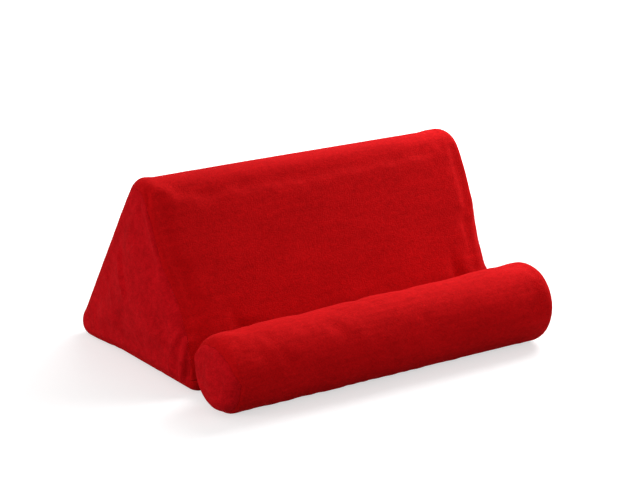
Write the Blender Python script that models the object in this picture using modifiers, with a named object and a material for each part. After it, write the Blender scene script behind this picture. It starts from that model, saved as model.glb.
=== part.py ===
"""Tablet cushion stand: a foam wedge with a soft roll sewn along its front foot.

Metres, +Z up. The roll is at the front (-Y), the rest face leans back towards
+Y, and both run along X. The origin is at the middle of the base.
"""
import math

import bmesh
import bpy
from mathutils import Vector

# Wedge section, in the Y-Z plane
WEDGE_HEIGHT = 0.1255
FRONT_LEAN = math.radians(25.1)
BACK_LEAN = math.radians(34.0)
APEX_RADIUS = 0.015
BACK_FOOT_RADIUS = 0.008
FRONT_FOOT_RADIUS = 0.008

# Wedge length from seam to seam, its soft edges and its puffed ends
WEDGE_WIDTH = 0.243
WEDGE_EDGE_ROUND = 0.0045
WEDGE_END_CROWN = 0.005

# Roll from seam to seam, its tapered ends and its domed discs
ROLL_DIAMETER = 0.0514
ROLL_WIDTH = 0.243
ROLL_EDGE_INSET = 0.0042
ROLL_EDGE_LENGTH = 0.012
ROLL_END_CROWN = 0.007

# Groove between the roll and the rest face, square to that face
GROOVE_GAP = 0.0108
ROLL_SEAM_ANGLE = math.radians(-26.0)
FOOT_SEAM_ANGLE = math.radians(170.0)

# Cover cloth, the flat lip beside a seam, the turned-in seam allowance, the
# clearance between pieces, and the wider one beside the strip in its seam
CLOTH_THICKNESS = 0.0016
SEAM_LIP = 0.001
SEAM_ALLOWANCE = 0.006
CLEARANCE = 0.0003
STRIP_CLEARANCE = 0.0006

# Steps in the rounded stretches
CORNER_STEPS = 6
FOOT_TOP_STEPS = 2
ROLL_STEPS = 40
EDGE_STEPS = 4
STRIP_STEPS = 6
CROWN_RINGS = (0.9, 0.74, 0.54, 0.32, 0.12)

# Colours and finishes
VELOUR_RED = (0.52, 0.008, 0.012, 1.0)
FOAM_CREAM = (0.80, 0.76, 0.62, 1.0)
FIBRE_WHITE = (0.86, 0.86, 0.84, 1.0)

# Wedge corners, first with the sharp corner of the front foot at Y = 0
half_apex = (FRONT_LEAN + BACK_LEAN) / 2
apex_tilt = (BACK_LEAN - FRONT_LEAN) / 2
apex_reach = APEX_RADIUS / math.sin(half_apex)
sharp_height = WEDGE_HEIGHT - APEX_RADIUS + apex_reach * math.cos(apex_tilt)
sharp_depth = sharp_height * (math.tan(FRONT_LEAN) + math.tan(BACK_LEAN))
apex_y = sharp_height * math.tan(FRONT_LEAN) + apex_reach * math.sin(apex_tilt)
front_foot_y = FRONT_FOOT_RADIUS * (math.tan(FRONT_LEAN) + 1 / math.cos(FRONT_LEAN))
back_foot_y = sharp_depth - BACK_FOOT_RADIUS * (math.tan(BACK_LEAN) + 1 / math.cos(BACK_LEAN))

# Roll axis, across the groove from the rest face
roll_radius = ROLL_DIAMETER / 2
roll_y = roll_radius * math.tan(FRONT_LEAN) - (roll_radius + GROOVE_GAP) / math.cos(FRONT_LEAN)

# The origin is halfway between the roll's front and the back foot
middle_y = (roll_y - roll_radius + back_foot_y + BACK_FOOT_RADIUS) / 2
apex = Vector((0, apex_y - middle_y, WEDGE_HEIGHT - APEX_RADIUS))
front_foot = Vector((0, front_foot_y - middle_y, FRONT_FOOT_RADIUS))
back_foot = Vector((0, back_foot_y - middle_y, BACK_FOOT_RADIUS))
roll_axis = Vector((0, roll_y - middle_y, roll_radius))

# A soft edge is limited by the smallest corner that it runs round
smallest_corner = min(FRONT_FOOT_RADIUS, BACK_FOOT_RADIUS, APEX_RADIUS)
wedge_edge_round = min(WEDGE_EDGE_ROUND, smallest_corner - 1.5 * CLOTH_THICKNESS)

# Half width of the slit in each seam that the joining strip is sewn into
slit_half = CLOTH_THICKNESS / 2 + STRIP_CLEARANCE

# How far the filling lies under the outside of the cover
filling_inset = CLOTH_THICKNESS + CLEARANCE


def point_at(centre, radius, angle):
    """A point of the section at an angle from +Y towards +Z."""
    return centre + radius * Vector((0, math.cos(angle), math.sin(angle)))


def arc(centre, radius, start, end, steps):
    """Points along an arc of the section."""
    return [point_at(centre, radius, start + (end - start) * step / steps) for step in range(steps + 1)]


def wedge_outline(inset, slit):
    """The wedge's section from its front foot seam up, over the apex and back.

    An inset keeps the corners' centres and comes off their radii.
    """
    foot_radius = FRONT_FOOT_RADIUS - inset
    seam_half = math.asin(slit / FRONT_FOOT_RADIUS)
    rest_face = math.pi - FRONT_LEAN
    base = -math.pi / 2
    top_of_foot = arc(front_foot, foot_radius, FOOT_SEAM_ANGLE - seam_half, rest_face, FOOT_TOP_STEPS)
    over_apex = arc(apex, APEX_RADIUS - inset, rest_face, BACK_LEAN, 2 * CORNER_STEPS)
    round_back = arc(back_foot, BACK_FOOT_RADIUS - inset, BACK_LEAN, base, CORNER_STEPS)
    under_foot = arc(front_foot, foot_radius, base, FOOT_SEAM_ANGLE + seam_half - 2 * math.pi,
                     2 * CORNER_STEPS)
    return top_of_foot + over_apex + round_back + under_foot


def roll_outline(inset, slit):
    """The roll's section from one side of its seam round to the other."""
    seam_half = math.asin(slit / roll_radius)
    start = ROLL_SEAM_ANGLE + seam_half
    end = ROLL_SEAM_ANGLE - seam_half + 2 * math.pi
    return arc(roll_axis, roll_radius - inset, start, end, ROLL_STEPS)


def closed_outline(outline, inset):
    """An outline without its slit: its two ends meet, and one of them goes."""
    return outline(inset, 0.0)[:-1]


def start_section(mesh_edit, points, x, closed):
    """Draw a section as edges, numbered in the order of its points."""
    order = mesh_edit.verts.layers.int.new("order")
    corners = []
    for number, point in enumerate(points):
        corner = mesh_edit.verts.new((x, point.y, point.z))
        corner[order] = number
        corners.append(corner)
    pairs = list(zip(corners, corners[1:]))
    if closed:
        pairs.append((corners[-1], corners[0]))
    return [mesh_edit.edges.new(pair) for pair in pairs]


def extrude_section(mesh_edit, edges, points, x):
    """Extrude a section's edges and put them on the next section's points."""
    order = mesh_edit.verts.layers.int["order"]
    grown = bmesh.ops.extrude_edge_only(mesh_edit, edges=edges)["geom"]
    corners = {item for item in grown if isinstance(item, bmesh.types.BMVert)}
    for corner in corners:
        point = points[corner[order]]
        corner.co = (x, point.y, point.z)
    new_edges = [item for item in grown if isinstance(item, bmesh.types.BMEdge)]
    return [edge for edge in new_edges if corners.issuperset(edge.verts)]


def loft(sections, closed, capped):
    """A surface through sections given as (points, x), facing away from X = 0."""
    mesh_edit = bmesh.new()
    edges = start_section(mesh_edit, *sections[0], closed)
    for points, x in sections[1:]:
        edges = extrude_section(mesh_edit, edges, points, x)
    if capped:
        bmesh.ops.contextual_create(mesh_edit, geom=edges)
    bmesh.ops.recalc_face_normals(mesh_edit, faces=mesh_edit.faces)
    points = sections[0][0]
    inside = sum(points, Vector()) / len(points)
    outward = sum((face.calc_center_median() - inside).dot(face.normal) * face.calc_area()
                  for face in mesh_edit.faces)
    if outward < 0:
        bmesh.ops.reverse_faces(mesh_edit, faces=mesh_edit.faces)
    return mesh_edit


def add_piece(name, mesh_edit, material, collection):
    """Turn an edited mesh into a named object, smooth where it is rounded."""
    mesh = bpy.data.meshes.new(name)
    mesh_edit.to_mesh(mesh)
    mesh_edit.free()
    mesh.materials.append(material)
    mesh.shade_smooth()
    mesh.set_sharp_from_angle(angle=math.radians(50))
    piece = bpy.data.objects.new(name, mesh)
    collection.objects.link(piece)
    return piece


def mirror_across_middle(piece):
    """Add the other half across X = 0."""
    mirror = piece.modifiers.new("other half", "MIRROR")
    mirror.use_axis = (True, False, False)
    mirror.merge_threshold = 0.0001


def give_thickness(piece, side):
    """Make a surface into cloth: side -1 grows it inwards, 0 both ways."""
    solidify = piece.modifiers.new("cloth", "SOLIDIFY")
    solidify.thickness = CLOTH_THICKNESS
    solidify.offset = side
    solidify.use_even_offset = True


def soft_edge(outline, width, inset, length, slit):
    """Sections of one half of a tube whose end curves in to the lip at its seam."""
    start = width / 2 - length
    sections = [(outline(0.0, slit), 0.0)]
    for step in range(EDGE_STEPS + 1):
        turn = math.pi / 2 * step / EDGE_STEPS
        fall = (inset - SEAM_LIP) * (1 - math.cos(turn))
        sections.append((outline(fall, slit), start + length * math.sin(turn)))
    sections.append((outline(inset, slit), width / 2))
    return sections


def crown(outline, inset, end_x, height):
    """Rings from a seam towards the middle of an end, rising by a parabola."""
    points = closed_outline(outline, inset)
    middle = sum(points, Vector()) / len(points)
    rings = []
    for scale in CROWN_RINGS:
        ring = [middle + scale * (point - middle) for point in points]
        rings.append((ring, end_x + height * (1 - scale ** 2)))
    return rings


def wrap_panel(name, outline, width, inset, length, material, collection):
    """The cloth round a filling, open at both ends and along its seam."""
    half = loft(soft_edge(outline, width, inset, length, slit_half), closed=False, capped=False)
    panel = add_piece(name, half, material, collection)
    mirror_across_middle(panel)
    give_thickness(panel, -1)


def end_panel(name, side, outline, width, inset, height, material, collection):
    """A puffed end with its seam allowance turned in under the wrap's edge."""
    seam_inset = inset + CLEARANCE
    seam = closed_outline(outline, seam_inset)
    sections = [(seam, width / 2 - SEAM_ALLOWANCE), (seam, width / 2)]
    sections += crown(outline, seam_inset, width / 2, height)
    surface = loft([(points, side * x) for points, x in sections], closed=True, capped=True)
    panel = add_piece(name, surface, material, collection)
    give_thickness(panel, -1)


def filling(name, outline, width, inset, height, material, collection):
    """What fills the cover: it steps in to clear the ends' seam allowances."""
    full = closed_outline(outline, filling_inset)
    end_inset = inset + CLEARANCE + filling_inset
    narrow = closed_outline(outline, end_inset)
    shoulder = width / 2 - SEAM_ALLOWANCE - CLEARANCE
    end_x = width / 2 - filling_inset
    sections = [(full, 0.0), (full, shoulder - end_inset), (narrow, shoulder), (narrow, end_x)]
    sections += crown(outline, end_inset, end_x, height)
    half = loft(sections, closed=True, capped=True)
    block = add_piece(name, half, material, collection)
    mirror_across_middle(block)


def joining_strip(name, material, collection):
    """The strip of cloth that hangs between the roll's seam and the foot's."""
    roll_end = point_at(roll_axis, roll_radius - CLOTH_THICKNESS, ROLL_SEAM_ANGLE)
    foot_end = point_at(front_foot, FRONT_FOOT_RADIUS - CLOTH_THICKNESS, FOOT_SEAM_ANGLE)
    pull = (foot_end - roll_end).length / 3
    roll_pull = point_at(roll_axis, roll_radius - CLOTH_THICKNESS + pull, ROLL_SEAM_ANGLE)
    foot_pull = point_at(front_foot, FRONT_FOOT_RADIUS - CLOTH_THICKNESS + pull, FOOT_SEAM_ANGLE)
    points = []
    for step in range(STRIP_STEPS + 1):
        t = step / STRIP_STEPS
        start_part = (1 - t) ** 3 * roll_end + 3 * (1 - t) ** 2 * t * roll_pull
        end_part = 3 * (1 - t) * t ** 2 * foot_pull + t ** 3 * foot_end
        points.append(start_part + end_part)
    width = min(WEDGE_WIDTH, ROLL_WIDTH)
    sheet = loft([(points, -width / 2), (points, width / 2)], closed=False, capped=False)
    strip = add_piece(name, sheet, material, collection)
    give_thickness(strip, 0)


def make_material(name, colour, roughness):
    """A plain Principled material."""
    material = bpy.data.materials.new(name)
    material.use_nodes = True
    shader = material.node_tree.nodes["Principled BSDF"]
    shader.inputs["Base Color"].default_value = colour
    shader.inputs["Roughness"].default_value = roughness
    shader.inputs["Metallic"].default_value = 0.0
    material.diffuse_color = colour
    return material


def main():
    for leftover in list(bpy.data.objects):
        bpy.data.objects.remove(leftover, do_unlink=True)
    collection = bpy.data.collections.new("tablet_cushion_stand")
    bpy.context.scene.collection.children.link(collection)

    velour = make_material("red_velour", VELOUR_RED, 0.9)
    foam = make_material("cream_foam", FOAM_CREAM, 0.95)
    fibre = make_material("white_fibre", FIBRE_WHITE, 0.95)

    wedge_end = (wedge_outline, WEDGE_WIDTH, wedge_edge_round)
    wrap_panel("wedge_wrap_panel", *wedge_end, wedge_edge_round, velour, collection)
    end_panel("wedge_left_end_panel", -1, *wedge_end, WEDGE_END_CROWN, velour, collection)
    end_panel("wedge_right_end_panel", 1, *wedge_end, WEDGE_END_CROWN, velour, collection)
    filling("wedge_foam_core", *wedge_end, WEDGE_END_CROWN, foam, collection)

    roll_end = (roll_outline, ROLL_WIDTH, ROLL_EDGE_INSET)
    wrap_panel("roll_wrap_panel", *roll_end, ROLL_EDGE_LENGTH, velour, collection)
    end_panel("roll_left_end_disc", -1, *roll_end, ROLL_END_CROWN, velour, collection)
    end_panel("roll_right_end_disc", 1, *roll_end, ROLL_END_CROWN, velour, collection)
    filling("roll_filling", *roll_end, ROLL_END_CROWN, fibre, collection)

    joining_strip("joining_strip", velour, collection)


main()
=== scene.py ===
"""Tablet cushion stand: velour cover panels round a foam wedge and a stuffed roll.

Metres, +Z up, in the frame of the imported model: the roll lies along X at the
front (-Y), and the rest face leans back towards +Y.
"""
import math

import bpy
import numpy as np
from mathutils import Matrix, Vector, kdtree, noise


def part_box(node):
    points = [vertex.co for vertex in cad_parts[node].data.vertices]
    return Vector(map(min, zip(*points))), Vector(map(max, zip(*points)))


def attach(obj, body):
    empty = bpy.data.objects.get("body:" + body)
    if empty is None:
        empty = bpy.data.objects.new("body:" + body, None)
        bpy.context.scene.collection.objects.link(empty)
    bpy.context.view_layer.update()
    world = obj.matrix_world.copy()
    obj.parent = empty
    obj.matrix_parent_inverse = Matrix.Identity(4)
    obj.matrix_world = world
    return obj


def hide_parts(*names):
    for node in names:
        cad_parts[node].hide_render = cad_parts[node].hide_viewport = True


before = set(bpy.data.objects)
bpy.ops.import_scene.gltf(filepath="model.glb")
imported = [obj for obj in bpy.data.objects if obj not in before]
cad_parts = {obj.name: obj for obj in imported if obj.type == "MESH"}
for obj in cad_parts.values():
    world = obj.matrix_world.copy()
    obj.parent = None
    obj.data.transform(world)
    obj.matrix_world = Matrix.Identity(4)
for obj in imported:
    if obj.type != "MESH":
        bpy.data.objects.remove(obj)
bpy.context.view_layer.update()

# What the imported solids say: the seam planes and the outside of both cushions
wedge_low, wedge_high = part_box("wedge_wrap_panel")
roll_low, roll_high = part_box("roll_wrap_panel")
_, foam_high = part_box("wedge_foam_core")
_, strip_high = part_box("joining_strip")
WEDGE_SEAM_X = wedge_high.x
ROLL_SEAM_X = roll_high.x
ROLL_RADIUS = (roll_high.z - roll_low.z) / 2
ROLL_CENTRE = np.array(((roll_low.y + roll_high.y) / 2, ROLL_RADIUS))

# Wedge section: three flat faces, two feet and a rounded ridge
FRONT_LEAN = math.radians(25.1)
BACK_LEAN = math.radians(34.0)
APEX_RADIUS = 0.015
FOOT_RADIUS = 0.008
BACK_FOOT_RADIUS = 0.011
REST_FACE_ANGLE = math.pi - FRONT_LEAN
BASE_ANGLE = -math.pi / 2
FOOT_SEAM_ANGLE = math.radians(170.0)
ROLL_SEAM_ANGLE = math.radians(-26.0)
rest_face_out = np.array((math.cos(REST_FACE_ANGLE), math.sin(REST_FACE_ANGLE)))
back_face_out = np.array((math.cos(BACK_LEAN), math.sin(BACK_LEAN)))
base_out = np.array((0.0, -1.0))
front_foot = np.array((wedge_low.y + FOOT_RADIUS, FOOT_RADIUS))
packed_back_foot = np.array((wedge_high.y - FOOT_RADIUS, FOOT_RADIUS))
rest_face_reach = rest_face_out @ front_foot + FOOT_RADIUS
back_face_reach = back_face_out @ packed_back_foot + FOOT_RADIUS
back_foot_y = (back_face_reach - BACK_FOOT_RADIUS * (1 + back_face_out[1])) / back_face_out[0]
back_foot = np.array((back_foot_y, BACK_FOOT_RADIUS))
apex_z = wedge_high.z - APEX_RADIUS
apex_y = (rest_face_reach - APEX_RADIUS - rest_face_out[1] * apex_z) / rest_face_out[0]
apex = np.array((apex_y, apex_z))

# The circle that touches all three faces, as (Y, Z, radius)
inner_circle = np.linalg.solve(
    np.column_stack((np.stack((base_out, rest_face_out, back_face_out)), np.ones(3))),
    np.array((0.0, rest_face_reach, back_face_reach)),
)
wedge_middle, wedge_inradius = inner_circle[:2], inner_circle[2]

# Seams: two panels turn in against each other on the rounded edge of a cushion
LIP_STEPS = 3
SHOULDER_STEPS = 9
LIP_ROWS = 1 + LIP_STEPS + SHOULDER_STEPS
SEAM_GAP = 0.00001
ALLOWANCE = 0.0022
VALLEY_HALF_WIDTH = 0.0016
LONG_SEAM_HALF = 0.00002
LONG_SEAM_DEPTH = 0.0004
LONG_SEAM_EDGE = 0.00012
CLOTH_THICKNESS = 0.0006

# Cloth grids: cells along each cushion and round it
CELL = 0.0017
WEDGE_ROUND = 280
ROLL_ROUND = 192
STRIP_CELL = 0.002
STRIP_ROWS = 12

# Ends of both cushions: past their seam planes, and how far the middle puffs out
WEDGE_FACE_PAST = 0.0035
WEDGE_CROWN = 0.0018
ROLL_FACE_PAST = 0.0050
ROLL_CROWN = 0.0020

# Seams of both cushions: the radius of the lips and the depth of the soft valley
WEDGE_LIP = 0.00025
WEDGE_VALLEY = 0.00015
ROLL_LIP = 0.00035
ROLL_VALLEY = 0.00060

# The joining strip stops short of the cushions' rounded ends; it curls out of its
# seams and waves a little
STRIP_END = strip_high.x - 0.0035
STRIP_CURL = 0.0035
STRIP_WAVE = 0.0006
STRIP_RIPPLE = 0.014

# Flat cuts: the allowance on each side and an end's rise
SEWN_ALLOWANCE = 0.003
END_RISE_CLOTH = 0.0015

# Cloth simulation: a coarse copy of each cover is blown up and its swelling kept
SWELL_VOXEL = 0.0045
SWELL_FRAMES = 20
SWELL_PRESSURE = 4.0
PIN_NEAR = 0.003
PIN_FAR = 0.016
SINK_MOST = 0.0006
SWELL_NEIGHBOURS = 10
SWELL_BLUR = 0.0035
CLOTH_QUALITY = 6
WEDGE_SPARE_CLOTH = 0.03
WEDGE_SWELL_MOST = 0.0025
ROLL_SPARE_CLOTH = 0.02
ROLL_SWELL_MOST = 0.0007

# The roll is sewn on a little to the left of the wedge, and is thinner there
ROLL_SHIFT = 0.0032
ROLL_TAPER = 0.035

# Fillings: cut smaller than their covers
FILLING_GAP = 0.0042
FILLING_EDGE = 0.0036
FILLING_VOXEL = 0.003
FOAM_LUMP = 0.0006
FOAM_LUMP_SIZE = 0.018
FIBRE_LUMP = 0.0012
FIBRE_LUMP_SIZE = 0.012
FIBRE_END_INSET = 0.006

# Velour: dark and light ends of its colour, and the height of its pile
WRAP_DARK = (0.40, 0.0018, 0.0028)
WRAP_LIGHT = (0.72, 0.0038, 0.0058)
ENDS_DARK = (0.40, 0.0020, 0.0042)
ENDS_LIGHT = (0.72, 0.0046, 0.0100)
WRAP_PILE = {
    "Patch Amount": 0.45, "Blotch Size": 0.0032, "Blotch Amount": 0.60, "Fleck Amount": 0.85,
}
ENDS_PILE = {
    "Patch Size": 0.016, "Patch Amount": 0.75,
    "Blotch Size": 0.0036, "Blotch Amount": 0.95, "Fleck Amount": 0.85,
}
PILE_HEIGHT = 0.0004

# Camera, at the photograph's viewing angle
CAMERA_PLACE = (-0.7108, -1.05054, 0.4531)
CAMERA_DOWN = 16.83
CAMERA_TURN = -34.22
CAMERA_LENS = 112.5
CAMERA_SENSOR = 36

# Studio: soft lamps as place, target, size and power, then the world and the floor
SOFTBOXES = {
    "overhead softbox": ((0.50, 0.22, 0.80), (0.03, -0.05, 0.05), (0.8, 0.5), 4.3),
    "right softbox": ((0.42, 0.06, 0.42), (0.10, -0.08, 0.05), (0.35, 0.3), 2.3),
    "front softbox": ((0.35, -1.25, 0.65), (0, 0, 0.05), (0.7, 0.7), 2.0),
    "left softbox": ((-1.30, 0.18, 0.32), (-0.1, 0, 0.05), (0.6, 0.4), 5.3),
}
WORLD_LIGHT = 0.40
FLOOR_BOUNCE = 0.35
FLOOR_WHITE = 0.62
FLOOR_GLOW = 0.60
FLOOR_FADE = (0.22, 0.50)
FLOOR_SIZE = 8


def deselect_all():
    """Leave edit mode and select nothing."""
    if bpy.context.object and bpy.context.object.mode != "OBJECT":
        bpy.ops.object.mode_set(mode="OBJECT")
    bpy.ops.object.select_all(action="DESELECT")


def make_active(piece):
    """Select one piece alone."""
    deselect_all()
    piece.select_set(True)
    bpy.context.view_layer.objects.active = piece


def apply_all(piece):
    """Apply every modifier, top to bottom."""
    make_active(piece)
    for modifier in list(piece.modifiers):
        bpy.ops.object.modifier_apply(modifier=modifier.name)


def read_points(piece):
    """A mesh's points as rows of X, Y, Z."""
    points = np.empty(len(piece.data.vertices) * 3)
    piece.data.vertices.foreach_get("co", points)
    return points.reshape(-1, 3)


def write_points(piece, points):
    """Put a mesh's points where the rows say."""
    piece.data.vertices.foreach_set("co", points.astype(np.float32).ravel())
    piece.data.update()


def read_normals(piece):
    """A mesh's smooth directions, one row for each point."""
    normals = np.empty(len(piece.data.vertices) * 3, np.float32)
    piece.data.vertex_normals.foreach_get("vector", normals)
    return normals.reshape(-1, 3).astype(float)


def ripple(points, size, seed):
    """Smooth noise from -1 to 1 at each point, with bumps of about that size."""
    shift = Vector((17.3 * seed, 5.1 * seed, 9.7 * seed))
    return np.array([noise.noise(Vector(point) / size + shift) for point in points])


def ramp(value, start, end):
    """0 before start and 1 after end, with a smooth rise between them."""
    share = np.clip((value - start) / (end - start), 0, 1)
    return share * share * (3 - 2 * share)


class Outline:
    """A closed section, read by the share of the way round it from its seam."""

    ARC_STEPS = 40

    def __init__(self, arcs):
        points, outward = [], []
        for centre, radius, start, end in arcs:
            for angle in np.linspace(start, end, self.ARC_STEPS):
                direction = np.array((math.cos(angle), math.sin(angle)))
                points.append(centre + radius * direction)
                outward.append(direction)
        self.points, self.outward = np.array(points), np.array(outward)
        steps = np.hypot(*np.diff(self.points, axis=0).T)
        self.way = np.concatenate(((0,), np.cumsum(steps)))
        self.length = self.way[-1]

    def at(self, share):
        """Points of the section and their outward directions."""
        way = np.clip(share, 0, 1) * self.length
        place = np.stack([np.interp(way, self.way, side) for side in self.points.T], -1)
        out = np.stack([np.interp(way, self.way, side) for side in self.outward.T], -1)
        return place, out / np.linalg.norm(out, axis=-1, keepdims=True)


wedge_outline = Outline([
    (front_foot, FOOT_RADIUS, FOOT_SEAM_ANGLE, REST_FACE_ANGLE),
    (apex, APEX_RADIUS, REST_FACE_ANGLE, BACK_LEAN),
    (back_foot, BACK_FOOT_RADIUS, BACK_LEAN, BASE_ANGLE),
    (front_foot, FOOT_RADIUS, BASE_ANGLE, FOOT_SEAM_ANGLE - 2 * math.pi),
])
roll_outline = Outline([(ROLL_CENTRE, ROLL_RADIUS, ROLL_SEAM_ANGLE, ROLL_SEAM_ANGLE - 2 * math.pi)])


class Cushion:
    """One stuffed form: its section, its rounded ends and how its end seams lie.

    The edge between the long panel and an end is a quarter round. seams(place,
    side) says how far round it the seam lies, from 0 at the long panel to a quarter
    turn at the end's face, and the radius of the round on either side of the seam.
    """

    def __init__(self, outline, middle, inradius, around, face_x, end_crown, lip, valley, seams):
        self.outline, self.middle, self.inradius = outline, middle, inradius
        self.around, self.face_x, self.end_crown = around, face_x, end_crown
        self.lip, self.valley, self.seams = lip, valley, seams

    def rim(self, share, side):
        """The seam at one end: its points, turn, rounds, depth and X."""
        place, out = self.outline.at(share)
        turn, radius, end_radius = self.seams(place, side)
        depth = seam_drop(turn, radius, self.lip)
        seam_x = self.face_x - seam_drop(math.pi / 2 - turn, end_radius, self.lip)
        return place - out * depth[:, None], turn, (radius, end_radius), depth, seam_x


def seam_drop(turn, radius, lip):
    """How far a seam lies under a panel that has turned that far before it."""
    return lip * (np.cos(turn) + np.sin(turn)) + radius * (1 - np.cos(turn))


def lip_places(edge_row, turn, shoulder, lip):
    """How far from the seam, and how high above it, a row near an edge lies.

    Row 0 is the turned-in allowance. The next rows run up the tight lip, and the
    rest run along the soft shoulder of that radius, which turns by that angle.
    """
    lip_share = np.clip((edge_row - 1) / LIP_STEPS, 0, 1)
    shoulder_share = np.clip((edge_row - 1 - LIP_STEPS) / SHOULDER_STEPS, 0, 1)
    lip_angle = turn + math.pi / 2 * (1 - lip_share)
    shoulder_angle = turn * (1 - shoulder_share)
    away = lip * (np.cos(turn) - np.sin(lip_angle)) + SEAM_GAP
    up = lip * (np.cos(lip_angle) + np.sin(turn))
    away += shoulder * (np.sin(turn) - np.sin(shoulder_angle))
    up += shoulder * (np.cos(shoulder_angle) - np.cos(turn))
    turned_in = (edge_row == 0) * ALLOWANCE
    return away + turned_in * np.sin(turn), up - turned_in * np.cos(turn)


def pull_in(cushion, share, side, away, x, section):
    """Sink a panel's points into the soft valley that runs along an end seam."""
    _, out = cushion.outline.at(share)
    _, turn, _, _, _ = cushion.rim(share, side)
    dip = cushion.valley * np.exp(-(away / VALLEY_HALF_WIDTH) ** 2)
    return x - side * dip * np.sin(turn), section - out * (dip * np.cos(turn))[:, None]


def flat_cloth(name, columns, rows):
    """A flat cut of cloth, gridded, with each point's column and row."""
    deselect_all()
    bpy.ops.mesh.primitive_grid_add(x_subdivisions=columns, y_subdivisions=rows, size=2)
    piece = bpy.context.object
    piece.name = piece.data.name = name
    flat = read_points(piece)
    column = np.rint((flat[:, 0] + 1) / 2 * columns).astype(int)
    row = np.rint((flat[:, 1] + 1) / 2 * rows).astype(int)
    return piece, column, row


def wrap_panel(name, cushion):
    """The long panel, rolled round the section and turned in at both ends."""
    columns = 2 * int(cushion.face_x / CELL) + LIP_ROWS
    columns += columns % 2
    piece, column, row = flat_cloth(name, columns, cushion.around)
    slit = LONG_SEAM_HALF / cushion.outline.length
    share = slit + (1 - 2 * slit) * row / cushion.around
    place, out = cushion.outline.at(share)
    edge_row = np.minimum(column, columns - column)
    long_row = np.minimum(row, cushion.around - row)
    inset = np.select([long_row == 0, long_row == 1], [LONG_SEAM_DEPTH, LONG_SEAM_EDGE], 0.0)
    points = np.empty((len(share), 3))
    for side in (-1, 1):
        here = column * 2 <= columns if side < 0 else column * 2 > columns
        _, turn, rounds, depth, seam_x = cushion.rim(share[here], side)
        away, up = lip_places(edge_row[here], turn, rounds[0], cushion.lip)
        sunk = inset[here] + np.where(edge_row[here] >= LIP_ROWS, 0, depth - up)
        section = place[here] - out[here] * sunk[:, None]
        flat_share = np.clip((edge_row[here] - LIP_ROWS) / (columns / 2 - LIP_ROWS), 0, 1)
        x = side * (seam_x - away) * (1 - flat_share)
        x, section = pull_in(cushion, share[here], side, away + flat_share, x, section)
        points[here] = np.column_stack((x, section))
    write_points(piece, points)
    return piece


def ring_places(column, row, rings):
    """A square grid's points as rings: which ring, and the share of the way round."""
    across, up = column - rings, row - rings
    size = np.maximum(np.abs(across), np.abs(up))
    way = np.select(
        [up == -size, across == size, up == size],
        [across + size, 3 * size + up, 5 * size - across],
        7 * size - up,
    )
    return rings - size, np.mod(way / np.maximum(8 * size, 1), 1.0)


def end_panel(name, cushion, side):
    """An end cut to the section's shape: rings of cloth from its seam inwards."""
    rings = cushion.around // 8
    piece, column, row = flat_cloth(name, 2 * rings, 2 * rings)
    ring, share = ring_places(column, row, rings)
    seam, turn, rounds, depth, seam_x = cushion.rim(share, side)
    away, up = lip_places(ring, math.pi / 2 - turn, rounds[1], cushion.lip)
    inner = np.clip((rings - ring) / (rings - LIP_ROWS), 0, 1)
    scale = (1 - away / (cushion.inradius - depth)) * np.where(ring > LIP_ROWS, inner, 1)
    x = seam_x + up + cushion.end_crown * (1 - inner ** 2) ** 2
    section = cushion.middle + scale[:, None] * (seam - cushion.middle)
    from_seam = away + (1 - inner)
    x, section = pull_in(cushion, share, side, from_seam, side * x, section)
    write_points(piece, np.column_stack((x, section)))
    return piece


def end_spots(place, side):
    """Spots in space for noise along a seam."""
    return np.column_stack((np.full(len(place), side * WEDGE_SEAM_X), place))


# Where the wedge's end seams lie: heights, and degrees round the edge there
FRONT_SEAM_TURNS = (
    (0.000, 0.012, 0.022, 0.036, 0.052, 0.067, 0.078, 0.092, 0.106, 0.122),
    (62, 50, 32, 26, 29, 36, 49, 52, 55, 64),
)
BACK_SEAM_TURNS = (
    (0.000, 0.012, 0.025, 0.040, 0.100, 0.122),
    (62, 63, 71, 76, 74, 64),
)
# How round the wedge's end edges are: heights, or Y on the base, and radii there
FRONT_EDGE_RADII = (
    (0.000, 0.055, 0.068, 0.080, 0.100, 0.112, 0.125),
    (0.0115, 0.0115, 0.0090, 0.0045, 0.0040, 0.0055, 0.0100),
)
BASE_EDGE_RADII = ((-0.045, 0.050, 0.080, 0.100), (0.0115, 0.0110, 0.0060, 0.0050))
BACK_EDGE_RADII = ((0.004, 0.020, 0.110, 0.125), (0.0050, 0.0090, 0.0090, 0.0100))
# The roll's end seams and their rounds, by the share of its radius above its axis
ROLL_LEFT_SEAM_TURNS = ((-1.0, -0.5, 0.0, 0.34, 0.71, 1.0), (28, 19, 19, 30, 43, 50))
ROLL_LEFT_RADII = ((-1.0, 0.0, 0.5, 1.0), (0.0105, 0.0115, 0.0125, 0.0150))
ROLL_LEFT_END_RADII = ((-1.0, 0.0, 0.4, 1.0), (0.0105, 0.0100, 0.0055, 0.0045))
ROLL_RIGHT_SEAM_TURNS = ((-1.0, 0.0, 0.7, 1.0), (42, 54, 70, 75))
ROLL_EDGE_RADIUS = 0.0090
GROOVE_SIDE_TURN = 16.0

# Puckers: how far they shift a seam, and their length along it
PUCKER_TURN = 3.0
WEDGE_PUCKER = 0.009
ROLL_PUCKER = 0.008
BASE_SEAM_TOP = 0.004


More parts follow.
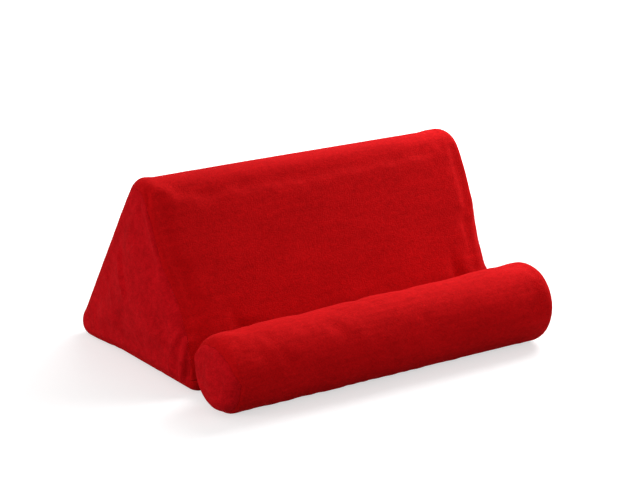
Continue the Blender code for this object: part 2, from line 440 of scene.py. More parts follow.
def wedge_seams(place, side):
    """The wedge's seams: set back on the ends, but near the rest face low down."""
    height = place[:, 1]
    front_edge = np.interp(height, (front_foot[1], apex[1]), (front_foot[0], apex[0]))
    front = np.interp(height, *FRONT_SEAM_TURNS)
    back = np.interp(height, *BACK_SEAM_TURNS)
    at_front = place[:, 0] < front_edge
    pucker = ripple(end_spots(place, side), WEDGE_PUCKER, seed=3)
    turn = np.where(at_front, front, back) + PUCKER_TURN * pucker
    radius = np.where(height > BASE_SEAM_TOP, np.interp(height, *BACK_EDGE_RADII),
                      np.interp(place[:, 0], *BASE_EDGE_RADII))
    radius = np.where(at_front, np.interp(height, *FRONT_EDGE_RADII), radius)
    return np.radians(turn), radius, radius


def roll_seams(place, side):
    """The roll's seams: its filling has settled, so they lie deeper along the top."""
    upward = (place[:, 1] - ROLL_CENTRE[1]) / ROLL_RADIUS
    backward = (place[:, 0] - ROLL_CENTRE[0]) / ROLL_RADIUS
    turn = np.interp(upward, *(ROLL_LEFT_SEAM_TURNS if side < 0 else ROLL_RIGHT_SEAM_TURNS))
    turn += GROOVE_SIDE_TURN * ramp(-upward, 0.1, 0.7) * ramp(backward, 0.0, 0.7)
    turn += PUCKER_TURN * ripple(end_spots(place, side), ROLL_PUCKER, seed=5)
    if side < 0:
        radius = np.interp(upward, *ROLL_LEFT_RADII)
        end_radius = np.interp(upward, *ROLL_LEFT_END_RADII)
    else:
        radius = end_radius = np.full(len(turn), ROLL_EDGE_RADIUS)
    return np.radians(turn), radius, end_radius


wedge = Cushion(
    wedge_outline, wedge_middle, wedge_inradius, WEDGE_ROUND,
    face_x=WEDGE_SEAM_X + WEDGE_FACE_PAST, end_crown=WEDGE_CROWN,
    lip=WEDGE_LIP, valley=WEDGE_VALLEY, seams=wedge_seams,
)
roll = Cushion(
    roll_outline, ROLL_CENTRE, ROLL_RADIUS, ROLL_ROUND,
    face_x=ROLL_SEAM_X + ROLL_FACE_PAST, end_crown=ROLL_CROWN,
    lip=ROLL_LIP, valley=ROLL_VALLEY, seams=roll_seams,
)


def outward_sign(piece, middle):
    """1 if the mesh's directions point away from the middle, else -1."""
    points, normals = read_points(piece), read_normals(piece)
    return 1 if np.einsum("ij,ij->", points - middle, normals) > 0 else -1


def turn_out(piece, middle):
    """Flip an open panel that came out facing inwards."""
    if outward_sign(piece, middle) < 0:
        make_active(piece)
        bpy.ops.object.mode_set(mode="EDIT")
        bpy.ops.mesh.select_all(action="SELECT")
        bpy.ops.mesh.flip_normals()
        bpy.ops.object.mode_set(mode="OBJECT")


def give_thickness(piece):
    """Make a panel's surface into cloth, grown inwards."""
    cloth = piece.modifiers.new("cloth", "SOLIDIFY")
    cloth.thickness = CLOTH_THICKNESS
    cloth.offset = -1
    apply_all(piece)


def shade_soft(piece):
    """Smooth shading all over."""
    make_active(piece)
    bpy.ops.object.shade_smooth()


def make_cover(cushion, wrap_name, left_name, right_name):
    """A cushion's long panel and its left and right ends, before they swell."""
    wrap = wrap_panel(wrap_name, cushion)
    left = end_panel(left_name, cushion, -1)
    right = end_panel(right_name, cushion, 1)
    return wrap, left, right


def coarse_copy(panels):
    """One closed, evenly meshed copy of a cover's panels."""
    deselect_all()
    copies = []
    for panel in panels:
        copy = panel.copy()
        copy.data = panel.data.copy()
        bpy.context.scene.collection.objects.link(copy)
        copies.append(copy)
    for copy in copies:
        copy.select_set(True)
    bpy.context.view_layer.objects.active = copies[0]
    bpy.ops.object.join()
    form = bpy.context.object
    form.data.remesh_voxel_size = SWELL_VOXEL
    bpy.ops.object.voxel_remesh()
    return form


def tree_of(points):
    """A search tree over rows of X, Y, Z."""
    tree = kdtree.KDTree(len(points))
    for number, point in enumerate(points):
        tree.insert(point, number)
    tree.balance()
    return tree


def pin_seams(form, seams):
    """Hold the cloth near its seams and where it rests on the floor."""
    points = read_points(form)
    tree = tree_of(seams)
    gaps = np.array([tree.find(point)[2] for point in points])
    hold = 1 - ramp(gaps, PIN_NEAR, PIN_FAR)
    hold = np.maximum(hold, 1 - ramp(points[:, 2], 0.001, 0.005))
    group = form.vertex_groups.new(name="held")
    for number, weight in enumerate(hold):
        group.add([number], float(weight), "REPLACE")
    return group


def blow_up(form, group, spare_cloth):
    """Run the cloth under pressure and give each point's way from its start.

    The filling is firm, so no point sinks in by more than a little.
    """
    start = read_points(form)
    outward = read_normals(form)
    cloth = form.modifiers.new("cloth", "CLOTH")
    settings = cloth.settings
    settings.quality = CLOTH_QUALITY
    settings.use_pressure = True
    settings.uniform_pressure_force = SWELL_PRESSURE
    settings.effector_weights.gravity = 0
    settings.vertex_group_mass = group.name
    settings.shrink_min = -spare_cloth
    settings.shrink_max = -spare_cloth
    cloth.point_cache.frame_start = 1
    cloth.point_cache.frame_end = SWELL_FRAMES
    scene = bpy.context.scene
    for number in range(1, SWELL_FRAMES + 1):
        scene.frame_set(number)
    graph = bpy.context.evaluated_depsgraph_get()
    blown = form.evaluated_get(graph).to_mesh()
    end = np.empty(len(blown.vertices) * 3)
    blown.vertices.foreach_get("co", end)
    scene.frame_set(1)
    way = end.reshape(-1, 3) - start
    sunk = np.minimum(np.einsum("ij,ij->i", way, outward) + SINK_MOST, 0)
    return way - outward * sunk[:, None]


def fold_lift(points, outward, folds):
    """How far the folds lift each point: a soft ridge along each fold's line.

    A fold is its line's points, its half width and its lift, below 0 for a crease.
    """
    lift = np.zeros(len(points))
    for line, width, height in folds:
        corners = np.array(line)
        share = np.linspace(0, 1, 12 * len(line))
        at = np.linspace(0, 1, len(line))
        path = np.stack([np.interp(share, at, side) for side in corners.T], -1)
        fade = ramp(share, 0, 0.25) * (1 - ramp(share, 0.7, 1))
        low, high = path.min(axis=0) - 4 * width, path.max(axis=0) + 4 * width
        near = np.flatnonzero(np.all((points > low) & (points < high), axis=1))
        gap = points[near, None, :] - path[None, :, :]
        along = np.einsum("ijk,ik->ij", gap, outward[near])
        beside = np.einsum("ijk,ijk->ij", gap, gap) - along ** 2
        closest = beside.argmin(axis=1)
        rows = np.arange(len(near))
        soft = np.exp(-beside[rows, closest] / width ** 2) * fade[closest]
        lift[near] += height * soft
    return lift


def shape_cover(panels, seams, spare_cloth, most, folds):
    """Swell a cover as blown up cloth, by no more than a given way, and fold it."""
    form = coarse_copy(panels)
    start, outward = read_points(form), read_normals(form)
    way = np.zeros_like(start)
    way = blow_up(form, pin_seams(form, seams), spare_cloth)
    length = np.linalg.norm(way, axis=1, keepdims=True)
    way *= most * np.tanh(length / most) / np.maximum(length, 1e-9)
    bpy.data.objects.remove(form, do_unlink=True)
    tree = tree_of(start)
    for panel in panels:
        points = read_points(panel)
        moves, faces = np.empty_like(points), np.empty_like(points)
        for number, point in enumerate(points):
            near = tree.find_n(point, SWELL_NEIGHBOURS)
            weights = np.array([math.exp(-(gap / SWELL_BLUR) ** 2) + 1e-6 for _, _, gap in near])
            weights /= weights.sum()
            index = [found for _, found, _ in near]
            moves[number], faces[number] = weights @ way[index], weights @ outward[index]
        faces /= np.maximum(np.linalg.norm(faces, axis=1, keepdims=True), 1e-9)
        moved = points + moves
        moved += faces * fold_lift(moved, faces, folds)[:, None]
        moved[:, 2] = np.maximum(moved[:, 2], np.minimum(points[:, 2], 0.0))
        write_points(panel, moved)


def seam_points(cushion):
    """Points along the seams at both ends and along the long seam."""
    share = np.linspace(0, 1, 4 * cushion.around)
    rows = []
    for side in (-1, 1):
        seam, _, _, _, seam_x = cushion.rim(share, side)
        rows.append(np.column_stack((side * seam_x, seam)))
    start, _ = cushion.outline.at(np.zeros(1))
    lengthwise = np.linspace(-cushion.face_x, cushion.face_x, cushion.around)
    rows.append(np.column_stack((lengthwise, np.repeat(start, cushion.around, axis=0))))
    return np.vstack(rows)


def settle_roll(points):
    """Shift the roll's points to the left and make it thinner there."""
    width = 1 + ROLL_TAPER * points[:, 0] / ROLL_SEAM_X
    y = ROLL_CENTRE[0] + (points[:, 1] - ROLL_CENTRE[0]) * width
    return np.column_stack((points[:, 0] - ROLL_SHIFT, y, points[:, 2] * width))


# Drag folds of the end panels. On the left they rise from the front foot and run
# over the edge on to the rest face, and two long creases cross the middle.
LEFT_END_FOLDS = (
    (((-0.1250, -0.0215, 0.003), (-0.1253, -0.0227, 0.012), (-0.1253, -0.0233, 0.0207),
      (-0.1253, -0.0261, 0.0289), (-0.1245, -0.0312, 0.0368), (-0.1190, -0.0285, 0.046)),
     0.0021, 0.0020),
    (((-0.1250, -0.0285, 0.003), (-0.1253, -0.0290, 0.014), (-0.1253, -0.0297, 0.0253),
      (-0.1248, -0.0335, 0.0329), (-0.1195, -0.0320, 0.040)),
     0.0017, -0.0013),
    (((-0.1245, -0.0350, 0.003), (-0.1248, -0.0352, 0.014), (-0.1243, -0.0370, 0.0255),
      (-0.1223, -0.0355, 0.0321), (-0.1175, -0.0322, 0.038)),
     0.0027, 0.0023),
    (((-0.1235, -0.0405, 0.003), (-0.1240, -0.0400, 0.0147), (-0.1238, -0.0405, 0.0205),
      (-0.1215, -0.0372, 0.028), (-0.1170, -0.0345, 0.033)),
     0.0018, -0.0008),
    (((-0.1215, -0.0440, 0.006), (-0.1225, -0.0426, 0.018), (-0.1198, -0.0365, 0.0305),
      (-0.1130, -0.0335, 0.035)),
     0.0020, 0.0014),
    (((-0.127, 0.0408, 0.0800), (-0.127, 0.0406, 0.0699), (-0.127, 0.0365, 0.0615),
      (-0.127, 0.0317, 0.0519), (-0.127, 0.0270, 0.0380)),
     0.0019, 0.0018),
    (((-0.127, 0.0368, 0.0790), (-0.127, 0.0362, 0.0690), (-0.127, 0.0320, 0.0605),
      (-0.127, 0.0275, 0.0510), (-0.127, 0.0230, 0.0370)),
     0.0019, -0.0014),
    (((-0.126, 0.0660, 0.0550), (-0.126, 0.0536, 0.0460), (-0.126, 0.0440, 0.0340)),
     0.0022, 0.0015),
    (((-0.1245, 0.0060, 0.1260), (-0.1250, 0.0040, 0.1180), (-0.1250, 0.0015, 0.1080)),
     0.0022, -0.0015),
    (((-0.1260, 0.0110, 0.1180), (-0.1265, 0.0120, 0.1090), (-0.1265, 0.0130, 0.1000)),
     0.0020, -0.0010),
    (((-0.126, 0.0064, 0.1130), (-0.126, 0.0006, 0.0998), (-0.126, -0.0051, 0.0882),
      (-0.126, -0.0110, 0.0760)),
     0.0022, 0.0013),
)
RIGHT_END_FOLDS = (
    (((0.1253, -0.0250, 0.004), (0.1253, -0.0262, 0.018), (0.1250, -0.0300, 0.0300),
      (0.1215, -0.0300, 0.0420)),
     0.0023, 0.0017),
    (((0.1253, -0.0330, 0.004), (0.1250, -0.0335, 0.016), (0.1240, -0.0350, 0.0270),
      (0.1190, -0.0330, 0.0350)),
     0.0021, -0.0013),
    (((0.1240, -0.0395, 0.005), (0.1240, -0.0400, 0.016), (0.1215, -0.0380, 0.0260),
      (0.1150, -0.0350, 0.0310)),
     0.0020, 0.0015),
    (((0.127, 0.0300, 0.0880), (0.127, 0.0330, 0.0700), (0.127, 0.0400, 0.0520),
      (0.127, 0.0460, 0.0360)),
     0.0022, 0.0011),
    (((0.127, 0.0100, 0.0700), (0.127, 0.0060, 0.0520), (0.127, 0.0040, 0.0340)),
     0.0026, -0.0009),
    (((0.125, 0.0860, 0.0110), (0.126, 0.0740, 0.0190), (0.126, 0.0610, 0.0240)),
     0.0024, 0.0012),
)
# The roll's cloth gathers a little where its left end is stuffed less, and the
# disc there is dented on the groove's side
ROLL_FOLDS = (
    (((-0.1265, -0.0690, 0.0330), (-0.1265, -0.0715, 0.0285), (-0.1265, -0.0722, 0.0240),
      (-0.1265, -0.0710, 0.0180)),
     0.0034, -0.0009),
    (((-0.1275, -0.0800, 0.0440), (-0.1275, -0.0850, 0.0400), (-0.1275, -0.0890, 0.0340),
      (-0.1275, -0.0910, 0.0270)),
     0.0040, 0.0007),
    (((-0.1265, -0.0720, 0.0160), (-0.1265, -0.0790, 0.0130), (-0.1265, -0.0870, 0.0115),
      (-0.1265, -0.0940, 0.0130)),
     0.0032, 0.0006),
    (((-0.1190, -0.0700, 0.0500), (-0.1120, -0.0745, 0.0510), (-0.1000, -0.0800, 0.0510)),
     0.0030, -0.0004),
    (((-0.1215, -0.0935, 0.0440), (-0.1130, -0.0960, 0.0430), (-0.0990, -0.0990, 0.0400)),
     0.0030, -0.0004),
    (((0.1170, -0.0760, 0.0500), (0.1100, -0.0790, 0.0510), (0.0980, -0.0830, 0.0510)),
     0.0032, -0.0004),
)


def turned_into_mesh(piece):
    """Put an object's place and turn into its mesh."""
    make_active(piece)
    bpy.ops.object.transform_apply(location=True, rotation=True, scale=True)


def select_edges(piece, wanted):
    """In edit mode, select the edges whose two end points satisfy the test."""
    bpy.ops.object.mode_set(mode="OBJECT")
    vertices = piece.data.vertices
    for edge in piece.data.edges:
        edge.select = wanted(*(vertices[index].co for index in edge.vertices))
    bpy.ops.object.mode_set(mode="EDIT")
    bpy.ops.mesh.select_mode(type="EDGE")


def even_out(piece, lump_size, lump_height, seed):
    """Remesh a filling evenly and give it shallow lumps, all inwards."""
    make_active(piece)
    piece.data.remesh_voxel_size = FILLING_VOXEL
    bpy.ops.object.voxel_remesh()
    points, normals = read_points(piece), read_normals(piece)
    sink = lump_height * (1 + ripple(points, lump_size, seed)) / 2
    write_points(piece, points - normals * sink[:, None])


def round_off(filling, end_x, edge):
    """Round the two end edges of a filling."""
    make_active(filling)
    bpy.ops.object.mode_set(mode="EDIT")
    select_edges(filling, lambda a, b: a.x * b.x > 0 and abs(abs(a.x) - end_x) < 0.001)
    bpy.ops.mesh.bevel(offset=edge, segments=5)
    bpy.ops.object.mode_set(mode="OBJECT")


def make_foam_core():
    """The wedge's foam: its cover's section, cut smaller, with rounded end edges."""
    end_x = foam_high.x - 2 * FILLING_GAP
    deselect_all()
    bpy.ops.mesh.primitive_cylinder_add(
        vertices=128, radius=1, depth=2 * end_x, rotation=(0, math.pi / 2, 0))
    core = bpy.context.object
    core.name = core.data.name = "wedge_foam"
    turned_into_mesh(core)
    points = read_points(core)
    share = np.mod(np.arctan2(-points[:, 2], points[:, 1]) / (2 * math.pi), 1.0)
    place, out = wedge.outline.at(share)
    write_points(core, np.column_stack((points[:, 0], place - out * FILLING_GAP)))
    turn_out(core, np.array((0, *wedge_middle)))
    round_off(core, end_x, FILLING_EDGE)
    even_out(core, FOAM_LUMP_SIZE, FOAM_LUMP, seed=11)
    return core


def make_fibre_filling():
    """The roll's stuffing: a lumpy bolster with rounded ends."""
    end_x = ROLL_SEAM_X - FIBRE_END_INSET
    deselect_all()
    bpy.ops.mesh.primitive_cylinder_add(
        vertices=64,
        radius=ROLL_RADIUS - FILLING_GAP,
        depth=2 * end_x,
        location=(0, *ROLL_CENTRE),
        rotation=(0, math.pi / 2, 0),
    )
    filling = bpy.context.object
    filling.name = filling.data.name = "roll_fibre"
    turned_into_mesh(filling)
    round_off(filling, end_x, 2 * FILLING_EDGE)
    even_out(filling, FIBRE_LUMP_SIZE, FIBRE_LUMP, seed=13)
    write_points(filling, settle_roll(read_points(filling)))
    return filling


def bezier(ends, share):
    """Points on a smooth curve through four rows of control points."""
    first, second, third, last = ends
    rest = 1 - share
    return (rest ** 3 * first + 3 * rest ** 2 * share * second
            + 3 * rest * share ** 2 * third + share ** 3 * last)


def make_joining_strip():
    """The strip sewn between the roll's long seam and the wedge's foot seam."""
    columns = int(2 * STRIP_END / STRIP_CELL)
    strip, column, row = flat_cloth("joining_strip_cloth", columns, STRIP_ROWS)
    x = STRIP_END * (2 * column / columns - 1)
    seam, out = roll.outline.at(np.zeros(len(x)))
    roll_edge = settle_roll(np.column_stack((x + ROLL_SHIFT, seam - out * LONG_SEAM_DEPTH)))
    roll_bend = settle_roll(np.column_stack((x + ROLL_SHIFT, seam + out * STRIP_CURL)))
    seam, out = wedge.outline.at(np.zeros(len(x)))
    foot_edge = np.column_stack((x, seam - out * LONG_SEAM_DEPTH))
    foot_bend = np.column_stack((x, seam + out * STRIP_CURL))
    share = (row / STRIP_ROWS)[:, None]
    points = bezier((roll_edge, roll_bend, foot_bend, foot_edge), share)
    middle = np.sin(math.pi * share[:, 0])
    points[:, 2] += STRIP_WAVE * middle * ripple(points, STRIP_RIPPLE, seed=17)
    write_points(strip, points)
    cloth = strip.modifiers.new("cloth", "SOLIDIFY")
    cloth.thickness = CLOTH_THICKNESS
    cloth.offset = 0
    apply_all(strip)
    return strip


def new_group(name, inputs, outputs):
    """A node group with named sockets, its entry and its exit."""
    group = bpy.data.node_groups.new(name, "ShaderNodeTree")
    for label, kind, value in inputs:
        socket = group.interface.new_socket(label, in_out="INPUT", socket_type=kind)
        if value is not None:
            socket.default_value = value
    for label, kind in outputs:
        group.interface.new_socket(label, in_out="OUTPUT", socket_type=kind)
    return group, group.nodes.new("NodeGroupInput"), group.nodes.new("NodeGroupOutput")


def math_node(nodes, operation, first, second, links):
    """A Math node; each input is a number or another node's output."""
    node = nodes.new("ShaderNodeMath")
    node.operation = operation
    for socket, value in zip(node.inputs, (first, second)):
        if isinstance(value, (int, float)):
            socket.default_value = value
        elif value is not None:
            links.new(value, socket)
    return node.outputs[0]


def noise_node(group, place, size_socket, detail):
    """Noise whose bumps have the size in metres that a socket gives."""
    nodes, links = group.nodes, group.links
    node = nodes.new("ShaderNodeTexNoise")
    node.inputs["Detail"].default_value = detail
    links.new(place, node.inputs["Vector"])
    links.new(math_node(nodes, "DIVIDE", 1.0, size_socket, links), node.inputs["Scale"])
    return node.outputs["Fac"]


def pile_group():
    """Velour pile: nap patches, small blotches and flecks, and the pile's height."""
    group, entry, leave = new_group(
        "velour pile",
        (("Vector", "NodeSocketVector", None),
         ("Patch Size", "NodeSocketFloat", 0.035),
         ("Blotch Size", "NodeSocketFloat", 0.005),
         ("Fleck Size", "NodeSocketFloat", 0.0009),
         ("Patch Amount", "NodeSocketFloat", 0.5),
         ("Blotch Amount", "NodeSocketFloat", 0.5),
         ("Fleck Amount", "NodeSocketFloat", 0.5)),
        (("Shade", "NodeSocketFloat"), ("Height", "NodeSocketFloat")),
    )
    nodes, links = group.nodes, group.links
    total = 0.5
    parts = {}
    for kind, detail in (("Patch", 2.0), ("Blotch", 3.0), ("Fleck", 1.0)):
        texture = noise_node(group, entry.outputs["Vector"], entry.outputs[kind + " Size"], detail)
        parts[kind] = texture
        centred = math_node(nodes, "SUBTRACT", texture, 0.5, links)
        share = math_node(nodes, "MULTIPLY", centred, entry.outputs[kind + " Amount"], links)
        total = math_node(nodes, "ADD", share, total, links)
    limit = nodes.new("ShaderNodeClamp")
    links.new(total, limit.inputs["Value"])
    links.new(limit.outputs[0], leave.inputs["Shade"])
    low_pile = math_node(nodes, "MULTIPLY", parts["Blotch"], 0.6, links)
    links.new(math_node(nodes, "ADD", parts["Fleck"], low_pile, links), leave.inputs["Height"])
    return group


def brushed_group():
    """Faint streaks where the pile was brushed one way."""
    group, entry, leave = new_group(
        "brushed pile",
        (("Vector", "NodeSocketVector", None),
         ("Streak Length", "NodeSocketFloat", 0.03),
         ("Streak Width", "NodeSocketFloat", 0.004)),
        (("Streak", "NodeSocketFloat"),),
    )
    nodes, links = group.nodes, group.links
    ratio = math_node(
        nodes, "DIVIDE", entry.outputs["Streak Width"], entry.outputs["Streak Length"], links)
    squeeze = nodes.new("ShaderNodeCombineXYZ")
    squeeze.inputs["Y"].default_value = 1.0
    squeeze.inputs["Z"].default_value = 1.0
    links.new(ratio, squeeze.inputs["X"])
    stretched = nodes.new("ShaderNodeVectorMath")
    stretched.operation = "MULTIPLY"
    links.new(entry.outputs["Vector"], stretched.inputs[0])
    links.new(squeeze.outputs[0], stretched.inputs[1])
    texture = noise_node(group, stretched.outputs[0], entry.outputs["Streak Width"], 2.0)
    links.new(texture, leave.inputs["Streak"])
    return group


def new_material(name):
    """A material, its nodes, its links and its main shader."""
    material = bpy.data.materials.new(name)
    material.use_nodes = True
    tree = material.node_tree
    return material, tree.nodes, tree.links, tree.nodes["Principled BSDF"]


def place_group(nodes, group, values):
    """Put a node group into a material with its own values."""
    node = nodes.new("ShaderNodeGroup")
    node.node_tree = group
    for label, value in values.items():
        node.inputs[label].default_value = value
    return node


def make_velour(name, pile, brushed, dark, light, amounts):
    """Short-pile velour: its colour, roughness and bump follow the pile."""
    material, nodes, links, shader = new_material(name)
    coordinates = nodes.new("ShaderNodeTexCoord").outputs["Object"]
    nap = place_group(nodes, pile, amounts)
    links.new(coordinates, nap.inputs["Vector"])
    streaks = place_group(nodes, brushed, {})
    links.new(coordinates, streaks.inputs["Vector"])
    centred = math_node(nodes, "SUBTRACT", streaks.outputs["Streak"], 0.5, links)
    faint = math_node(nodes, "MULTIPLY", centred, 0.5, links)
    shade = math_node(nodes, "ADD", nap.outputs["Shade"], faint, links)
    colour = nodes.new("ShaderNodeMix")
    colour.data_type = "RGBA"
    colour.inputs[6].default_value = (*dark, 1)
    colour.inputs[7].default_value = (*light, 1)
    links.new(shade, colour.inputs[0])
    links.new(colour.outputs[2], shader.inputs["Base Color"])
    dullness = nodes.new("ShaderNodeMapRange")
    dullness.inputs["To Min"].default_value = 0.98
    dullness.inputs["To Max"].default_value = 0.84
    links.new(shade, dullness.inputs["Value"])
    links.new(dullness.outputs[0], shader.inputs["Roughness"])
    bump = nodes.new("ShaderNodeBump")
    bump.inputs["Strength"].default_value = 0.7
    bump.inputs["Distance"].default_value = PILE_HEIGHT
    links.new(nap.outputs["Height"], bump.inputs["Height"])
    links.new(bump.outputs[0], shader.inputs["Normal"])
    shader.inputs["Specular IOR Level"].default_value = 0.05
    shader.inputs["Sheen Weight"].default_value = 0.4
    shader.inputs["Sheen Roughness"].default_value = 0.35
    shader.inputs["Sheen Tint"].default_value = (1.0, 0.022, 0.028, 1)
    return material


def make_foam():
    """Cream open-cell foam: small cells, with painted shade in their hollows."""
    material, nodes, links, shader = new_material("cream foam")
    coordinates = nodes.new("ShaderNodeTexCoord").outputs["Object"]
    cells = nodes.new("ShaderNodeTexVoronoi")
    cells.inputs["Scale"].default_value = 700.0
    links.new(coordinates, cells.inputs["Vector"])
    ageing = nodes.new("ShaderNodeTexNoise")
    ageing.inputs["Scale"].default_value = 22.0
    links.new(coordinates, ageing.inputs["Vector"])
    base = nodes.new("ShaderNodeMix")
    base.data_type = "RGBA"
    base.inputs[6].default_value = (0.84, 0.80, 0.68, 1)
    base.inputs[7].default_value = (0.76, 0.70, 0.53, 1)
    links.new(ageing.outputs["Fac"], base.inputs[0])
    # Painted shade: the colour darkens towards each cell's middle, which is the low hollow of the
    # bump
    painted_hollow_shade = nodes.new("ShaderNodeMapRange")
    painted_hollow_shade.inputs["From Max"].default_value = 0.6
    painted_hollow_shade.inputs["To Min"].default_value = 0.55
    painted_hollow_shade.inputs["To Max"].default_value = 1.0
    links.new(cells.outputs["Distance"], painted_hollow_shade.inputs["Value"])
    shaded = nodes.new("ShaderNodeMix")
    shaded.data_type = "RGBA"
    shaded.inputs[6].default_value = (0.45, 0.40, 0.28, 1)
    links.new(painted_hollow_shade.outputs[0], shaded.inputs[0])
    links.new(base.outputs[2], shaded.inputs[7])
    links.new(shaded.outputs[2], shader.inputs["Base Color"])
    bump = nodes.new("ShaderNodeBump")
    bump.inputs["Distance"].default_value = 0.0008
    links.new(cells.outputs["Distance"], bump.inputs["Height"])
    links.new(bump.outputs[0], shader.inputs["Normal"])
    shader.inputs["Roughness"].default_value = 0.95
    shader.inputs["Specular IOR Level"].default_value = 0.2
    return material


def make_fibre():
    """White loose fibre: tangled fine strands."""
    material, nodes, links, shader = new_material("white fibre")
    coordinates = nodes.new("ShaderNodeTexCoord").outputs["Object"]
    strands = nodes.new("ShaderNodeTexWave")
    strands.inputs["Scale"].default_value = 260.0
    strands.inputs["Distortion"].default_value = 14.0
    strands.inputs["Detail"].default_value = 3.0
    links.new(coordinates, strands.inputs["Vector"])
    colour = nodes.new("ShaderNodeMix")
    colour.data_type = "RGBA"
    colour.inputs[6].default_value = (0.74, 0.74, 0.72, 1)
    colour.inputs[7].default_value = (0.88, 0.88, 0.86, 1)
    links.new(strands.outputs["Fac"], colour.inputs[0])
    links.new(colour.outputs[2], shader.inputs["Base Color"])
    bump = nodes.new("ShaderNodeBump")
    bump.inputs["Distance"].default_value = 0.0010
    links.new(strands.outputs["Fac"], bump.inputs["Height"])
    links.new(bump.outputs[0], shader.inputs["Normal"])
    shader.inputs["Roughness"].default_value = 0.9
    shader.inputs["Specular IOR Level"].default_value = 0.3
    shader.inputs["Sheen Weight"].default_value = 0.3
    return material


def add_camera():
    """A camera at the photograph's viewing angle."""
    camera = bpy.data.objects.new("camera", bpy.data.cameras.new("camera"))
    bpy.context.scene.collection.objects.link(camera)
    camera.data.lens = CAMERA_LENS
    camera.data.sensor_width = CAMERA_SENSOR
    camera.location = CAMERA_PLACE
    camera.rotation_euler = (math.radians(90 - CAMERA_DOWN), 0, math.radians(CAMERA_TURN))
    bpy.context.scene.camera = camera


def add_softbox(name, place, target, size, power):
    """A soft rectangular lamp that points at its target."""
    light = bpy.data.objects.new(name, bpy.data.lights.new(name, "AREA"))
    bpy.context.scene.collection.objects.link(light)
    light.data.shape = "RECTANGLE"
    light.data.size, light.data.size_y = size
    light.data.energy = power
    light.location = place
    aim = Vector(target) - Vector(place)
    light.rotation_euler = aim.to_track_quat("-Z", "Y").to_euler()


def shown_rays(nodes, links):
    """1 for rays that show the background: seen, mirrored or through glass."""
    path = nodes.new("ShaderNodeLightPath")
    shown = path.outputs["Is Camera Ray"]
    for kind in ("Is Glossy Ray", "Is Transmission Ray"):
        shown = math_node(nodes, "MAXIMUM", shown, path.outputs[kind], links)
    return shown


def add_world():
    """Even white light, and a white background behind the floor."""
    world = bpy.data.worlds.new("white studio")
    bpy.context.scene.world = world
    world.use_nodes = True
    nodes, links = world.node_tree.nodes, world.node_tree.links
    nodes.clear()
    shown = shown_rays(nodes, links)
    light = nodes.new("ShaderNodeBackground")
    light.inputs["Color"].default_value = (1, 1, 1, 1)
    light.inputs["Strength"].default_value = WORLD_LIGHT
    white = nodes.new("ShaderNodeBackground")
    white.inputs["Color"].default_value = (1, 1, 1, 1)
    mix = nodes.new("ShaderNodeMixShader")
    output = nodes.new("ShaderNodeOutputWorld")
    links.new(shown, mix.inputs[0])
    links.new(light.outputs[0], mix.inputs[1])
    links.new(white.outputs[0], mix.inputs[2])
    links.new(mix.outputs[0], output.inputs[0])


def add_floor():
    """A pale floor that fades to white away from the stand and keeps its shadow."""
    deselect_all()
    bpy.ops.mesh.primitive_plane_add(size=FLOOR_SIZE)
    floor = bpy.context.object
    floor.name = "floor"
    material, nodes, links, shader = new_material("pale floor")
    shader.inputs["Roughness"].default_value = 1.0
    shader.inputs["Specular IOR Level"].default_value = 0.0
    shown = shown_rays(nodes, links)
    colour = nodes.new("ShaderNodeMix")
    colour.data_type = "RGBA"
    colour.inputs[6].default_value = (*[FLOOR_BOUNCE] * 3, 1)
    colour.inputs[7].default_value = (*[FLOOR_WHITE] * 3, 1)
    links.new(shown, colour.inputs[0])
    links.new(colour.outputs[2], shader.inputs["Base Color"])
    place = nodes.new("ShaderNodeTexCoord").outputs["Object"]
    distance = nodes.new("ShaderNodeVectorMath")
    distance.operation = "LENGTH"
    links.new(place, distance.inputs[0])
    fade = nodes.new("ShaderNodeMapRange")
    fade.interpolation_type = "SMOOTHSTEP"
    fade.inputs["From Min"].default_value, fade.inputs["From Max"].default_value = FLOOR_FADE
    fade.inputs["To Min"].default_value = FLOOR_GLOW
    links.new(distance.outputs["Value"], fade.inputs["Value"])
    shader.inputs["Emission Color"].default_value = (1, 1, 1, 1)
    glow = math_node(nodes, "MULTIPLY", shown, fade.outputs[0], links)
    links.new(glow, shader.inputs["Emission Strength"])
    floor.data.materials.append(material)


def hand_over(piece, material, node):
    """Finish a piece: its material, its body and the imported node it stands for."""
    shade_soft(piece)
    piece.data.materials.append(material)
    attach(piece, "root")
    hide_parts(node)


def declare_end(cushion, side):
    """Work out the outline an end panel would be cut to, with its rise and allowance; the outline
    is not used.
    """
    share = np.linspace(0, 1, 200)
    _, out = cushion.outline.at(share)
    outside = cushion.rim(share, side)[0] + out * (END_RISE_CLOTH + SEWN_ALLOWANCE)


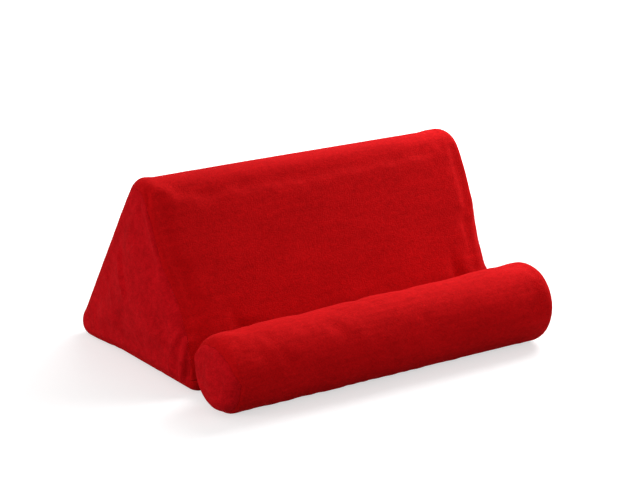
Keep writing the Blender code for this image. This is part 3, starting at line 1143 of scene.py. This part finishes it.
def finish_cover(cushion, cover, nodes, velours):
    """Make a cover's panels into cloth, and give each its material and body."""
    for piece, node, velour in zip(cover, nodes, velours):
        turn_out(piece, np.array((0, *cushion.middle)))
        give_thickness(piece)
        hand_over(piece, velour, node)
    declare_end(cushion, -1)
    declare_end(cushion, 1)


def build_wedge(velours, foam_material):
    """The wedge: its foam and its cover's three panels."""
    core = make_foam_core()
    hand_over(core, foam_material, "wedge_foam_core")
    cover = make_cover(wedge, "wedge_wrap_cover", "wedge_left_end_cover", "wedge_right_end_cover")
    shape_cover(cover, seam_points(wedge), WEDGE_SPARE_CLOTH, WEDGE_SWELL_MOST,
                LEFT_END_FOLDS + RIGHT_END_FOLDS)
    nodes = ("wedge_wrap_panel", "wedge_left_end_panel", "wedge_right_end_panel")
    finish_cover(wedge, cover, nodes, velours)


def build_roll(velours, fibre_material):
    """The roll: its filling and its cover's three panels."""
    filling = make_fibre_filling()
    hand_over(filling, fibre_material, "roll_filling")
    cover = make_cover(roll, "roll_wrap_cover", "roll_left_disc_cover", "roll_right_disc_cover")
    shape_cover(cover, seam_points(roll), ROLL_SPARE_CLOTH, ROLL_SWELL_MOST, ROLL_FOLDS)
    for piece in cover:
        write_points(piece, settle_roll(read_points(piece)))
    nodes = ("roll_wrap_panel", "roll_left_end_disc", "roll_right_end_disc")
    finish_cover(roll, cover, nodes, velours)


def build_strip(velour):
    """The strip of cover cloth at the bottom of the groove."""
    strip = make_joining_strip()
    hand_over(strip, velour, "joining_strip")


def main():
    """Make the materials and every piece of the stand."""
    pile, brushed = pile_group(), brushed_group()
    wrap_velour = make_velour("red velour", pile, brushed, WRAP_DARK, WRAP_LIGHT, WRAP_PILE)
    end_velour = make_velour("red velour ends", pile, brushed, ENDS_DARK, ENDS_LIGHT, ENDS_PILE)
    velours = (wrap_velour, end_velour, end_velour)
    build_wedge(velours, make_foam())
    build_roll(velours, make_fibre())
    build_strip(wrap_velour)


main()
add_camera()
add_world()
add_floor()
for label, (place, target, size, power) in SOFTBOXES.items():
    add_softbox(label, place, target, size, power)
bpy.context.scene.view_settings.view_transform = "Standard"
